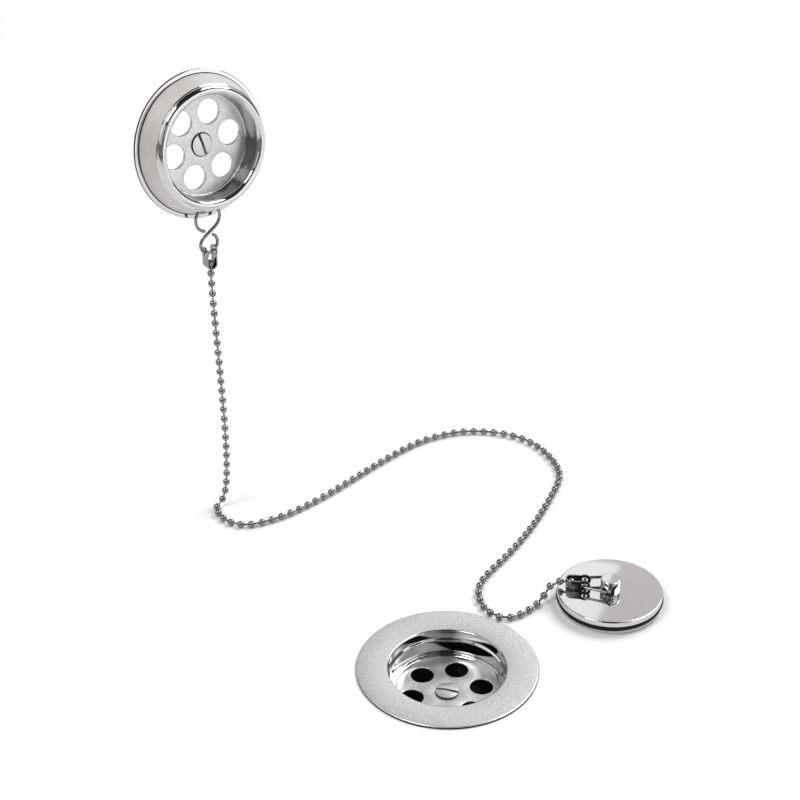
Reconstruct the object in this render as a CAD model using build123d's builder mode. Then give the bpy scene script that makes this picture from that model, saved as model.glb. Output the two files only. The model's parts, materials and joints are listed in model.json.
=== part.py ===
"""Bath waste with its plug, ball chain and overflow face, in millimetres.

The origin is on the waste's axis at the height of the bath's floor, and Z points up.
The waste's cup and tail go down through the floor, the plug and the chain lie on it,
and the overflow face stands above and behind, where the bath's end wall carries it.
"""
from math import asin, cos, degrees, radians, sin, sqrt
import os

from build123d import *

os.makedirs("parts", exist_ok=True)

# Waste flange, cup and grid
flange_radius = 36.5
flange_thickness = 1.1
flange_dish = 0.3
flange_rim_round = 0.6
flange_width = 12.9
mouth_round = 0.6
seat_depth = 4.1
seat_step = 0.8
cup_depth = 14.4
cup_wall = 1.9
ridge_inset = 2.5
ridge_height = 1.8
ridge_width = 1.2
grid_depth = 11.8
waste_hole_radius = 4.7
waste_hole_inset = 6.1
waste_hole_angle = 13.0
hole_count = 6

# Waste screw and the washer under the flange
waste_thread_radius = 3.0
waste_head_radius = 4.7
waste_head_height = 1.1
waste_slot_angle = -15.0
screw_clearance = 0.2
shoulder_step = 0.4
shoulder_spare = 0.3
slot_width = 1.1
slot_floor = 0.4
washer_inset = 2.5
washer_thickness = 0.45

# Tail under the bath
bath_thickness = 8.0
tail_washer_thickness = 3.0
tail_flange_inset = 2.5
tail_flange_thickness = 3.5
tail_thread_radius = 23.9
tail_bore_radius = 20.6
tail_wall = 2.8
tail_length = 62.0
socket_clearance = 0.3
funnel_height = 7.0
bridge_depth = 27.0
bridge_height = 11.0
bridge_web = 2.6
bridge_boss_radius = 7.0
insert_radius = 4.6
insert_length = 13.0
thread_clearance = 0.03

# Overflow face: where it stands, and its section
overflow_place = (-100.2, 122.3, 172.5)
overflow_yaw = 38.2
overflow_lean = 9.0
overflow_radius = 30.7
overflow_flange = 0.9
overflow_grid_top = 1.9
overflow_grid_thickness = 1.3
overflow_grid_inset = 10.3
overflow_ledge = 0.8
overflow_height = 11.4
ring_inset = 7.2
ring_round = 2.0
ring_rise = 1.7
band_inset = 1.9
band_wall = 1.2
groove_depth = 0.4
overflow_hole_radius = 5.15
overflow_hole_inset = 6.75
overflow_hole_angle = 7.0
overflow_thread_radius = 2.5
overflow_head_radius = 4.6
overflow_head_height = 1.0
overflow_slot_angle = 103.0
overflow_screw_length = 10.0
overflow_washer_thickness = 1.5
overflow_washer_width = 5.8

# S-hook, as it hangs in the two holes of the overflow's band
wire_radius = 0.7
hook_angle = -97.9
hook_inset = 3.95
hook_level = 5.0
hook_hole_inset = 3.9
hook_hole_angle = -96.2
hook_hole_spread = 17.2
hook_hole_radius = 2.4
hook_rise = 2.3
hook_upper_radius = 5.8
hook_lower_radius = 4.1
hook_loop_spacing = 11.7
hook_upper_end = 252.0
hook_lower_end = 60.0

# Couplings: a strip folded round the end ball, with an eye in each flank
strip_thickness = 0.5
strip_width = 3.8
ear_radius = 2.45
ball_room = 0.3
coupling_length = 5.6
eye_room = 0.65

# Ball chain
ball_radius = 1.6
ball_sides = 8
ball_half_length = 1.45
ball_chamfer = 0.8
chain_pitch = 4.75
link_radius = 0.45
link_sides = 6
link_play = 0.2
hanging_end = 17.0

# Plug, pillar and bail
plug_place = (68.4, 43.3)
plug_radius = 22.0
plug_top_thickness = 2.4
plug_seal_thickness = 2.3
plug_base_thickness = 1.7
plug_seal_proud = 0.3
plug_base_inset = 0.5
plug_edge_round = 0.6
pillar_radius = 4.1
pillar_height = 6.0
pillar_round = 0.5
stud_radius = 2.5
stud_clearance = 0.03
rivet_radius = 4.0
rivet_height = 0.8
bail_wire_radius = 0.6
bail_height = 2.75
bail_length = 10.6
bail_angle = -8.0
bail_base_half = 3.4
bail_side_gap = 1.0
bail_corner = 1.1
bail_reach = 2.0
pivot_clearance = 0.08

# Route of the chain between the two couplings, chosen by hand
chain_corners = [
    (-97.3, 112.7, 108.0),
    (-96.4, 112.7, 84.0),
    (-95.4, 112.7, 58.0),
    (-94.9, 112.8, 34.0),
    (-95.4, 113.2, 15.0),
    (-97.3, 113.6, 4.0),
    (-100.6, 112.2, 1.6),
    (-99.9, 106.8, 1.6),
    (-96.6, 101.2, 1.6),
    (-91.2, 97.4, 1.6),
    (-84.5, 96.7, 1.6),
    (-76.0, 100.2, 1.6),
    (-66.0, 106.6, 1.6),
    (-52.2, 119.4, 1.6),
    (-39.0, 134.0, 1.6),
    (-25.5, 149.4, 1.6),
    (-12.0, 162.4, 1.6),
    (-2.5, 168.6, 1.6),
    (10.0, 173.2, 1.6),
    (20.0, 173.2, 1.6),
    (29.5, 171.6, 1.6),
    (38.4, 167.6, 1.6),
    (45.4, 160.6, 1.6),
    (50.4, 152.0, 1.6),
    (53.8, 142.4, 1.6),
    (54.0, 133.4, 1.6),
    (51.4, 125.2, 1.6),
    (47.8, 115.6, 1.6),
    (40.6, 98.0, 1.6),
    (29.4, 77.2, 1.6),
    (18.0, 60.6, 1.6),
    (14.6, 53.6, 1.6),
    (13.8, 46.6, 1.6),
    (15.0, 39.8, 1.6),
    (18.2, 34.2, 1.6),
    (22.6, 30.8, 1.6),
    (28.0, 31.0, 1.6),
    (33.0, 34.6, 1.6),
    (36.8, 38.4, 1.6),
    (39.8, 41.4, 2.4),
    (42.6, 44.0, 6.6),
    (45.6, 45.8, 9.7),
]

# Heights and places that follow from the sizes above
plug_height = plug_base_thickness + plug_seal_thickness + plug_top_thickness
pivot_height = plug_height + bail_height
mouth_radius = flange_radius - flange_width
cup_radius = mouth_radius + cup_wall
ridge_radius = mouth_radius - ridge_inset
grid_radius = ridge_radius - ridge_width / 2
waste_hole_circle = grid_radius - waste_hole_inset
tail_flange_radius = flange_radius - tail_flange_inset
ring_radius = overflow_radius - ring_inset
overflow_grid_radius = overflow_radius - overflow_grid_inset
overflow_hole_circle = overflow_grid_radius - overflow_hole_inset
tail_top = -bath_thickness - tail_washer_thickness
yaw = radians(overflow_yaw)
lean = radians(overflow_lean)
across = Vector(cos(yaw), sin(yaw), 0)
outward = Vector(sin(yaw), -cos(yaw), 0)
overflow_normal = outward * cos(lean) + Vector(0, 0, sin(lean))
overflow_up = overflow_normal.cross(across)
overflow_centre = Vector(*overflow_place)
overflow_axis = Axis(overflow_centre, overflow_normal)
overflow_plane = Plane(overflow_centre, x_dir=across, z_dir=overflow_normal)
overflow_section = Plane(overflow_centre, x_dir=across, z_dir=-overflow_up)


def screw_section(head_radius, head_height, thread_radius, shoulder, length):
    """Half section of a raised-head screw whose head rests at height 0."""
    crown = 0.35 * head_height
    with BuildLine() as outline:
        Polyline(
            (0, head_height),
            (0, -length),
            (thread_radius, -length),
            (thread_radius, -shoulder),
            (thread_radius + shoulder_step, -shoulder),
            (thread_radius + shoulder_step, 0),
            (head_radius, 0),
            (head_radius, head_height - crown),
        )
        ThreePointArc(
            (head_radius, head_height - crown),
            (head_radius * 0.55, head_height - crown * 0.3),
            (0, head_height),
        )
    make_face(outline.edges())


# Waste flange: one turned piece with its grid drilled
seat_height = flange_thickness - seat_depth
seat_radius = mouth_radius - seat_step
ridge_top = -grid_depth + ridge_height
lip_radius = mouth_radius + mouth_round
lip_height = flange_thickness - flange_dish
groove_inner = cup_radius + washer_inset
groove_outer = flange_radius - washer_inset
with BuildPart() as waste_flange:
    with BuildSketch(Plane.XZ):
        with BuildLine():
            Polyline((0, -cup_depth), (0, -grid_depth), (grid_radius, -grid_depth))
            Line((grid_radius, -grid_depth), (grid_radius, ridge_top - ridge_width / 2))
            ThreePointArc(
                (grid_radius, ridge_top - ridge_width / 2),
                (ridge_radius, ridge_top),
                (ridge_radius + ridge_width / 2, ridge_top - ridge_width / 2),
            )
            Polyline(
                (ridge_radius + ridge_width / 2, ridge_top - ridge_width / 2),
                (seat_radius, ridge_top - ridge_width / 2),
                (seat_radius, seat_height - seat_step),
                (mouth_radius, seat_height),
                (mouth_radius, lip_height - mouth_round),
            )
            RadiusArc(
                (mouth_radius, lip_height - mouth_round),
                (lip_radius, lip_height),
                mouth_round,
            )
            Line((lip_radius, lip_height), (flange_radius - flange_rim_round, flange_thickness))
            RadiusArc(
                (flange_radius - flange_rim_round, flange_thickness),
                (flange_radius, flange_thickness - flange_rim_round),
                flange_rim_round,
            )
            Polyline(
                (flange_radius, flange_thickness - flange_rim_round),
                (flange_radius, 0),
                (groove_outer, 0),
                (groove_outer, washer_thickness),
                (groove_inner, washer_thickness),
                (groove_inner, 0),
                (cup_radius, 0),
                (cup_radius, -cup_depth),
                (0, -cup_depth),
            )
        make_face()
    revolve(axis=Axis.Z)
    with BuildSketch(Plane.XY.offset(-grid_depth)):
        Circle(waste_thread_radius + shoulder_step + screw_clearance)
        with PolarLocations(waste_hole_circle, hole_count, waste_hole_angle):
            Circle(waste_hole_radius)
    extrude(amount=-cup_depth, mode=Mode.SUBTRACT)

# Rubber ring in the groove under the flange
with BuildPart() as waste_washer:
    with BuildSketch():
        Circle(groove_outer)
        Circle(groove_inner, mode=Mode.SUBTRACT)
    extrude(amount=washer_thickness)

# Slotted screw that draws the flange and the tail together
insert_top = -bridge_depth + (insert_length - bridge_height) / 2
waste_screw_length = -grid_depth - (insert_top - insert_length)
with BuildPart() as waste_screw:
    with BuildSketch(Plane((0, 0, -grid_depth), x_dir=(1, 0, 0), z_dir=(0, -1, 0))):
        screw_section(
            waste_head_radius,
            waste_head_height,
            waste_thread_radius,
            cup_depth - grid_depth + shoulder_spare,
            waste_screw_length,
        )
    revolve(axis=Axis.Z)
    with BuildSketch(Plane.XY.offset(slot_floor * waste_head_height - grid_depth)):
        Rectangle(3 * waste_head_radius, slot_width, rotation=waste_slot_angle)
    extrude(amount=waste_head_height, mode=Mode.SUBTRACT)

# Rubber ring between the tail and the underside of the bath
with BuildPart() as tail_washer:
    with BuildSketch(Plane.XY.offset(tail_top)):
        Circle(tail_flange_radius)
        Circle(cup_radius + socket_clearance, mode=Mode.SUBTRACT)
    extrude(amount=tail_washer_thickness)

# Plastic tail: flange, funnel, outlet and a bridge that holds the insert
socket_radius = cup_radius + socket_clearance
socket_bottom = -cup_depth - socket_clearance
funnel_bottom = socket_bottom - funnel_height
with BuildPart() as waste_tail:
    with BuildSketch(Plane.XZ):
        with BuildLine():
            Polyline(
                (socket_radius, tail_top),
                (tail_flange_radius, tail_top),
                (tail_flange_radius, tail_top - tail_flange_thickness),
                (socket_radius + tail_wall, tail_top - tail_flange_thickness),
                (socket_radius + tail_wall, socket_bottom),
                (tail_thread_radius, funnel_bottom - tail_wall),
                (tail_thread_radius, -tail_length),
                (tail_bore_radius, -tail_length),
                (tail_bore_radius, funnel_bottom),
                (socket_radius, socket_bottom),
                (socket_radius, tail_top),
            )
        make_face()
    revolve(axis=Axis.Z)
    with BuildSketch(Plane.XY.offset(-bridge_depth)):
        Circle(bridge_boss_radius)
        with PolarLocations(0, 3):
            Rectangle(tail_bore_radius + 1, bridge_web, align=(Align.MIN, Align.CENTER))
    extrude(amount=-bridge_height)
    with BuildSketch(Plane.XY.offset(-bridge_depth)):
        Circle(insert_radius)
    extrude(amount=bridge_height, both=True, mode=Mode.SUBTRACT)

# Brass threaded bush in the bridge
with BuildPart() as tail_insert:
    with BuildSketch(Plane.XY.offset(insert_top)):
        Circle(insert_radius)
        Circle(waste_thread_radius + thread_clearance, mode=Mode.SUBTRACT)
    extrude(amount=-insert_length)

# Overflow face: one pressed piece, hollow behind its band
band_foot = overflow_radius - band_inset
ring_level = overflow_height - ring_rise
ledge_level = overflow_grid_top + overflow_ledge
band_head = ring_radius + ring_round + groove_depth
grid_back = overflow_grid_top - overflow_grid_thickness
ledge_radius = overflow_grid_radius + 0.6
hollow_head = ring_level - 1.2
with BuildPart() as overflow_face:
    with BuildSketch(overflow_section):
        with BuildLine():
            Polyline(
                (0, grid_back),
                (0, overflow_grid_top),
                (overflow_grid_radius, overflow_grid_top),
                (overflow_grid_radius, ledge_level),
                (ledge_radius, ledge_level),
                (ring_radius - ring_round, ring_level),
            )
            ThreePointArc(
                (ring_radius - ring_round, ring_level),
                (ring_radius, overflow_height),
                (ring_radius + ring_round, ring_level),
            )
            Polyline(
                (ring_radius + ring_round, ring_level),
                (ring_radius + ring_round, ring_level - groove_depth),
                (band_head, ring_level - 2 * groove_depth),
                (band_foot, overflow_flange + groove_depth),
                (band_foot - groove_depth, overflow_flange),
                (overflow_radius - 0.3, overflow_flange),
                (overflow_radius, overflow_flange - 0.3),
                (overflow_radius, 0),
                (band_foot - band_wall + 0.4, 0),
                (band_head - band_wall, hollow_head),
                (ring_radius - 0.4, hollow_head + 0.3),
                (ring_radius - ring_round + 0.8, hollow_head - 0.4),
                (ledge_radius + band_wall, ledge_level - 0.6),
                (ledge_radius + band_wall, grid_back),
                (0, grid_back),
            )
        make_face()
    revolve(axis=overflow_axis)
    with BuildSketch(overflow_plane):
        Circle(overflow_thread_radius + shoulder_step + screw_clearance)
        with PolarLocations(overflow_hole_circle, hole_count, overflow_hole_angle):
            Circle(overflow_hole_radius)
    extrude(amount=overflow_grid_top + 1, mode=Mode.SUBTRACT)
    for side in (-1, 1):
        turn = radians(hook_hole_angle + side * hook_hole_spread / 2)
        ray = across * cos(turn) + overflow_up * sin(turn)
        entry = overflow_centre + ray * (overflow_radius - hook_hole_inset) + overflow_normal * hook_level
        with BuildSketch(Plane(entry, x_dir=overflow_normal, z_dir=ray)):
            Circle(hook_hole_radius)
        extrude(amount=2 * band_wall, both=True, mode=Mode.SUBTRACT)

# Rubber ring behind the overflow face
washer_radius = band_foot + groove_depth
with BuildPart() as overflow_washer:
    with BuildSketch(overflow_plane):
        Circle(washer_radius)
        Circle(washer_radius - overflow_washer_width, mode=Mode.SUBTRACT)
    extrude(amount=-overflow_washer_thickness)

# Slotted screw that holds the overflow face
screw_plane = overflow_plane.offset(overflow_grid_top)
with BuildPart() as overflow_screw:
    with BuildSketch(Plane(screw_plane.origin, x_dir=across, z_dir=-overflow_up)):
        screw_section(
            overflow_head_radius,
            overflow_head_height,
            overflow_thread_radius,
            overflow_grid_thickness + shoulder_spare,
            overflow_screw_length,
        )
    revolve(axis=overflow_axis)
    with BuildSketch(screw_plane.offset(slot_floor * overflow_head_height)):
        Rectangle(3 * overflow_head_radius, slot_width, rotation=overflow_slot_angle)
    extrude(amount=overflow_head_height, mode=Mode.SUBTRACT)

# S-hook: two loops and the straight run that is tangent to both
hook_turn = radians(hook_angle)
hook_pin = (
    overflow_centre
    + (across * cos(hook_turn) + overflow_up * sin(hook_turn)) * (overflow_radius - hook_inset)
    + overflow_normal * hook_level
)
hook_plane = Plane(hook_pin, x_dir=across, z_dir=outward)
upper_centre = (0, hook_rise - hook_upper_radius)
lower_centre = (0, upper_centre[1] - hook_loop_spacing)
cross_angle = asin((hook_upper_radius + hook_lower_radius) / hook_loop_spacing)
touch = (cos(cross_angle), -sin(cross_angle))
with BuildPart() as s_hook:
    with BuildLine(hook_plane) as hook_line:
        CenterArc(
            upper_centre, hook_upper_radius, hook_upper_end, -hook_upper_end - degrees(cross_angle)
        )
        Line(
            (hook_upper_radius * touch[0], upper_centre[1] + hook_upper_radius * touch[1]),
            (-hook_lower_radius * touch[0], lower_centre[1] - hook_lower_radius * touch[1]),
        )
        CenterArc(
            lower_centre,
            hook_lower_radius,
            180 - degrees(cross_angle),
            180 + degrees(cross_angle) + hook_lower_end,
        )
    hook_wire = hook_line.wire()
    with BuildSketch(Plane(hook_wire @ 0, z_dir=hook_wire % 0)):
        Circle(wire_radius)
    sweep(path=hook_wire)


def coupling(seat, eye_radius):
    """Folded strip: the eyes are at the seat's origin and the ball is along its X."""
    inner = ball_radius + ball_room
    outer = inner + strip_thickness
    flanks = Plane(seat.origin, x_dir=seat.x_dir, z_dir=seat.y_dir)
    with BuildPart() as strip:
        with BuildSketch(seat):
            with Locations((coupling_length, 0)):
                Circle(outer)
                Rectangle(coupling_length, 2 * outer, align=(Align.MAX, Align.CENTER))
                Circle(inner, mode=Mode.SUBTRACT)
                Rectangle(coupling_length, 2 * inner, align=(Align.MAX, Align.CENTER), mode=Mode.SUBTRACT)
        extrude(amount=strip_width / 2, both=True)
        for level in (inner, -outer):
            with BuildSketch(flanks.offset(level)):
                Circle(ear_radius)
            extrude(amount=strip_thickness)
        with BuildSketch(flanks):
            Circle(eye_radius)
        extrude(amount=2 * outer, both=True, mode=Mode.SUBTRACT)
        with BuildSketch(Plane(seat.origin, x_dir=seat.y_dir, z_dir=seat.x_dir)):
            Circle(link_radius + 2 * link_play)
        extrude(amount=2 * coupling_length, mode=Mode.SUBTRACT)
    return strip


# Coupling on the S-hook: its eyes sit where the lower loop passes the flanks
flank = ball_radius + ball_room + strip_thickness / 2
eye_drop = lower_centre[1] - sqrt(hook_lower_radius**2 - flank**2)
hook_eye = hook_pin + Vector(0, 0, eye_drop)
hook_coupling = coupling(Plane(hook_eye, x_dir=(0, 0, -1), z_dir=outward), wire_radius + eye_room)
first_ball = hook_eye - Vector(0, 0, coupling_length)

# Coupling on the plug's bail
bail_way = Vector(-cos(radians(bail_angle)), -sin(radians(bail_angle)), 0)
plug_centre = Vector(*plug_place)
pivot = plug_centre + Vector(0, 0, pivot_height)
bail_plane = Plane(pivot, x_dir=bail_way, z_dir=(0, 0, 1))
bail_eye = pivot + bail_way * bail_length
plug_coupling = coupling(Plane(bail_eye, x_dir=bail_way, z_dir=(0, 0, 1)), bail_wire_radius + eye_room)
last_ball = bail_eye + bail_way * coupling_length

# Bail: one wire, both ends bent into the pillar's cross hole
bail_side = pillar_radius + bail_side_gap + bail_wire_radius
with BuildPart() as plug_bail:
    with BuildLine(bail_plane) as bail_line:
        FilletPolyline(
            (0, -bail_reach),
            (0, -bail_side),
            (bail_length, -bail_base_half),
            (bail_length, bail_base_half),
            (0, bail_side),
            (0, bail_reach),
            radius=bail_corner,
        )
    bail_wire = bail_line.wire()
    with BuildSketch(Plane(bail_wire @ 0, z_dir=bail_wire % 0)):
        Circle(bail_wire_radius)
    sweep(path=bail_wire)

# Pillar with the stud that rivets the plug's discs together
plug_section = Plane(plug_centre, x_dir=(1, 0, 0), z_dir=(0, -1, 0))
plug_axis = Axis(plug_centre, (0, 0, 1))
pillar_top = plug_height + pillar_height
rivet_floor = 0.1
with BuildPart() as plug_pillar:
    with BuildSketch(plug_section):
        with BuildLine():
            Polyline(
                (0, pillar_top),
                (0, rivet_floor),
                (rivet_radius, rivet_floor),
                (rivet_radius, rivet_floor + rivet_height),
                (stud_radius, rivet_floor + rivet_height),
                (stud_radius, plug_height),
                (pillar_radius, plug_height),
                (pillar_radius, pillar_top - pillar_round),
            )
            RadiusArc(
                (pillar_radius, pillar_top - pillar_round),
                (pillar_radius - pillar_round, pillar_top),
                -pillar_round,
            )
            Line((pillar_radius - pillar_round, pillar_top), (0, pillar_top))
        make_face()
    revolve(axis=plug_axis)
    with BuildSketch(Plane(pivot, x_dir=bail_way, z_dir=bail_plane.y_dir)):
        Circle(bail_wire_radius + pivot_clearance)
    extrude(amount=2 * pillar_radius, both=True, mode=Mode.SUBTRACT)

# Polished top disc
seal_top = plug_base_thickness + plug_seal_thickness
stud_bore = stud_radius + stud_clearance
with BuildPart() as plug_top:
    with BuildSketch(Plane(plug_centre + Vector(0, 0, seal_top))):
        Circle(plug_radius)
        Circle(stud_bore, mode=Mode.SUBTRACT)
    extrude(amount=plug_top_thickness)
    fillet(plug_top.edges().group_by(Axis.Z)[-1].sort_by(SortBy.RADIUS)[-1], radius=plug_edge_round)

# Rubber seal, a little proud of the discs and tapered towards the base
with BuildPart() as plug_seal:
    with BuildSketch(plug_section):
        with BuildLine():
            Polyline(
                (stud_bore, plug_base_thickness),
                (plug_radius - plug_base_inset + 0.1, plug_base_thickness),
                (plug_radius + plug_seal_proud, seal_top - 0.8),
                (plug_radius + plug_seal_proud, seal_top - 0.3),
                (plug_radius - 0.1, seal_top),
                (stud_bore, seal_top),
                (stud_bore, plug_base_thickness),
            )
        make_face()
    revolve(axis=plug_axis)

# Bottom disc with the rivet's recess
with BuildPart() as plug_base:
    with BuildSketch(Plane(plug_centre)):
        Circle(plug_radius - plug_base_inset)
        Circle(stud_bore, mode=Mode.SUBTRACT)
    extrude(amount=plug_base_thickness)
    with BuildSketch(Plane(plug_centre)):
        Circle(rivet_radius + stud_clearance)
    extrude(amount=rivet_floor + rivet_height, mode=Mode.SUBTRACT)
    fillet(plug_base.edges().group_by(Axis.Z)[0].sort_by(SortBy.RADIUS)[-1], radius=plug_edge_round)


def chain_line(corners):
    """Smooth line that touches the middle of every inner run of the corners."""
    with BuildLine() as line:
        start = corners[0]
        for index in range(1, len(corners) - 1):
            finish = corners[index + 1]
            if index < len(corners) - 2:
                finish = (corners[index] + corners[index + 1]) / 2
            Bezier(start, corners[index], finish)
            start = finish
    return line.wire()


# Chain: ball places at an even pitch along the route
route = chain_line([first_ball] + [Vector(*corner) for corner in chain_corners] + [last_ball])
spaces = round(route.length / chain_pitch)
steps = [route.length * index / spaces for index in range(spaces + 1)]
centres = [route.position_at(step, position_mode=PositionMode.LENGTH) for step in steps]
ways = [route.tangent_at(step, position_mode=PositionMode.LENGTH) for step in steps]
hanging_count = sum(1 for centre in centres if centre.Z > hanging_end)

with BuildPart() as ball:
    with BuildSketch():
        RegularPolygon(ball_radius, ball_sides)
    extrude(amount=ball_half_length, both=True)
    chamfer(ball.faces().filter_by(Axis.Z).edges(), length=ball_chamfer)


def ball_group(first, last):
    """The chain's balls from one index up to, not including, another."""
    with BuildPart() as group:
        with Locations(*[Plane(centres[i], z_dir=ways[i]) for i in range(first, last)]):
            add(ball.part)
    return group


def link_group(first, last):
    """The short rods that follow the balls from one index up to, not including, another."""
    with BuildPart() as group:
        for i in range(first, last):
            span = centres[i + 1] - centres[i]
            half = span.length / 2 - ball_half_length - link_play
            with BuildSketch(Plane((centres[i] + centres[i + 1]) / 2, z_dir=span)):
                RegularPolygon(link_radius, link_sides)
            extrude(amount=half, both=True)
    return group


hanging_balls = ball_group(0, hanging_count)
hanging_links = link_group(0, hanging_count - 1)
lying_balls = ball_group(hanging_count, spaces + 1)
lying_links = link_group(hanging_count - 1, spaces)

waste_flange.part.label = "waste_flange"
export_step(waste_flange.part, "parts/waste_flange.step")
waste_washer.part.label = "waste_washer"
export_step(waste_washer.part, "parts/waste_washer.step")
waste_screw.part.label = "waste_screw"
export_step(waste_screw.part, "parts/waste_screw.step")
tail_washer.part.label = "tail_washer"
export_step(tail_washer.part, "parts/tail_washer.step")
waste_tail.part.label = "waste_tail"
export_step(waste_tail.part, "parts/waste_tail.step")
tail_insert.part.label = "tail_insert"
export_step(tail_insert.part, "parts/tail_insert.step")
overflow_face.part.label = "overflow_face"
export_step(overflow_face.part, "parts/overflow_face.step")
overflow_washer.part.label = "overflow_washer"
export_step(overflow_washer.part, "parts/overflow_washer.step")
overflow_screw.part.label = "overflow_screw"
export_step(overflow_screw.part, "parts/overflow_screw.step")
s_hook.part.label = "s_hook"
export_step(s_hook.part, "parts/s_hook.step")
hook_coupling.part.label = "hook_coupling"
export_step(hook_coupling.part, "parts/hook_coupling.step")
hanging_balls.part.label = "hanging_balls"
export_step(hanging_balls.part, "parts/hanging_balls.step")
hanging_links.part.label = "hanging_links"
export_step(hanging_links.part, "parts/hanging_links.step")
lying_balls.part.label = "lying_balls"
export_step(lying_balls.part, "parts/lying_balls.step")
lying_links.part.label = "lying_links"
export_step(lying_links.part, "parts/lying_links.step")
plug_coupling.part.label = "plug_coupling"
export_step(plug_coupling.part, "parts/plug_coupling.step")
plug_bail.part.label = "plug_bail"
export_step(plug_bail.part, "parts/plug_bail.step")
plug_pillar.part.label = "plug_pillar"
export_step(plug_pillar.part, "parts/plug_pillar.step")
plug_top.part.label = "plug_top"
export_step(plug_top.part, "parts/plug_top.step")
plug_seal.part.label = "plug_seal"
export_step(plug_seal.part, "parts/plug_seal.step")
plug_base.part.label = "plug_base"
export_step(plug_base.part, "parts/plug_base.step")

# Figures for whoever places the joints, and the tightest bends of the chain
print("hook pin", hook_pin, "hook eye", hook_eye, "first ball", first_ball)
print("pivot", pivot, "bail eye", bail_eye, "last ball", last_ball)
print("chain length", route.length, "balls", spaces + 1, "hanging", hanging_count)
print("last hanging ball", centres[hanging_count - 1])
bends = []
for a, b, c in zip(centres, centres[1:], centres[2:]):
    turned = (b - a).get_angle(c - b)
    if turned > 1:
        bends.append(((b - a).length / radians(turned), tuple(round(v, 1) for v in b)))
print("tightest bends", [(round(r, 1), place) for r, place in sorted(bends)[:6]])
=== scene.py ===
"""Dresses the bath waste: turned chrome pieces, ball chain, plug and overflow face.

Everything is in metres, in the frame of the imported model: the origin is on the waste's axis
at the height of the bath's floor, and Z points up.
"""
import json
import math

import bmesh
import bpy
from bpy.props import FloatProperty, FloatVectorProperty, IntProperty, PointerProperty
from mathutils import Matrix, Vector


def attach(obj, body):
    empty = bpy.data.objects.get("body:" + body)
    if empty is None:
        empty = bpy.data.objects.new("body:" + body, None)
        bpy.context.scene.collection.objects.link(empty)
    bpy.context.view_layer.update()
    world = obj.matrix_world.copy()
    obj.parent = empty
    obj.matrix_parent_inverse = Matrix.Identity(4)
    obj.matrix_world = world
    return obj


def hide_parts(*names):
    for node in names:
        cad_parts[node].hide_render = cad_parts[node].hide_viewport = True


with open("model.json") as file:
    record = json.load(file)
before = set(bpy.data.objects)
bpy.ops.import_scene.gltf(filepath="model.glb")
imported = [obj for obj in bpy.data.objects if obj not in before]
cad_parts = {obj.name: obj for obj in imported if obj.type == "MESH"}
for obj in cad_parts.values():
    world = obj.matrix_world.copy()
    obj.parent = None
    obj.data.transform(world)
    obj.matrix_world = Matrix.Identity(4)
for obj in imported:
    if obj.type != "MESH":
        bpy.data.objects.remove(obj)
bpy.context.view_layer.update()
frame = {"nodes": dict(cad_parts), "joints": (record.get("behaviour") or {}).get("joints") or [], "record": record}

bl_info = {
    "name": "Bath waste",
    "version": (1, 0, 0),
    "blender": (4, 5, 0),
    "location": "View3D > Sidebar > Bath waste",
    "description": "Builds the finished pieces of a bath waste on its packed frame",
    "category": "Object",
}

MM = 0.001
JOINTS = {joint["name"]: joint for joint in frame["joints"]}
MOUNTS = {mount["name"]: mount for mount in frame["record"]["mounts"]}
PLUG_PIVOT = Vector(JOINTS["plug_tilt"]["pos_m"])
ACROSS = Vector(JOINTS["hook_swing"]["axis"]).normalized()
OVERFLOW_NORMAL = -Vector(MOUNTS["overflow_seat"]["axis"]).normalized()
OVERFLOW_CENTRE = Vector((-100.2, 122.3, 172.5)) * MM

# Roundings of turned edges
FINE = 0.05 * MM
CRISP = 0.1 * MM
EASED = 0.15 * MM
SOFT = 0.25 * MM

# Room that a face has when its finish goes by its place
EDGE = 0.1 * MM
SLACK = 0.02 * MM

# Largest slope of a wall's normal along the axis, in a drilled plate and in a copied node
PLATE_WALL = 0.1
COPY_WALL = 0.3

# Smallest angle of a plate's rim in radians, and points of a node that count as one
RIM_ANGLE = 1.0
JOIN_DISTANCE = 0.002 * MM

# Faces round a turned piece, a grid's hole, a hole for the hook and a rod of the chain
SPIN_STEPS = 144
HOLE_SEGMENTS = 48
DRILL_SEGMENTS = 40
LINK_SEGMENTS = 8

# Faces across a turned edge's rounding, a hole's eased rim and the rolled ring's crown
ROUNDING_SEGMENTS = 6
RIM_SEGMENTS = 3
CROWN_STEPS = 14

# Holes round each grid's screw, and points of the chain's line for each control point
GRID_HOLES = 6
ROUTE_RESOLUTION = 40

# Angles in degrees past which an edge stays sharp
TURNED_SHARP = 40.0
COPY_SHARP = 35.0
BEAD_SHARP = 50.0

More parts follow.
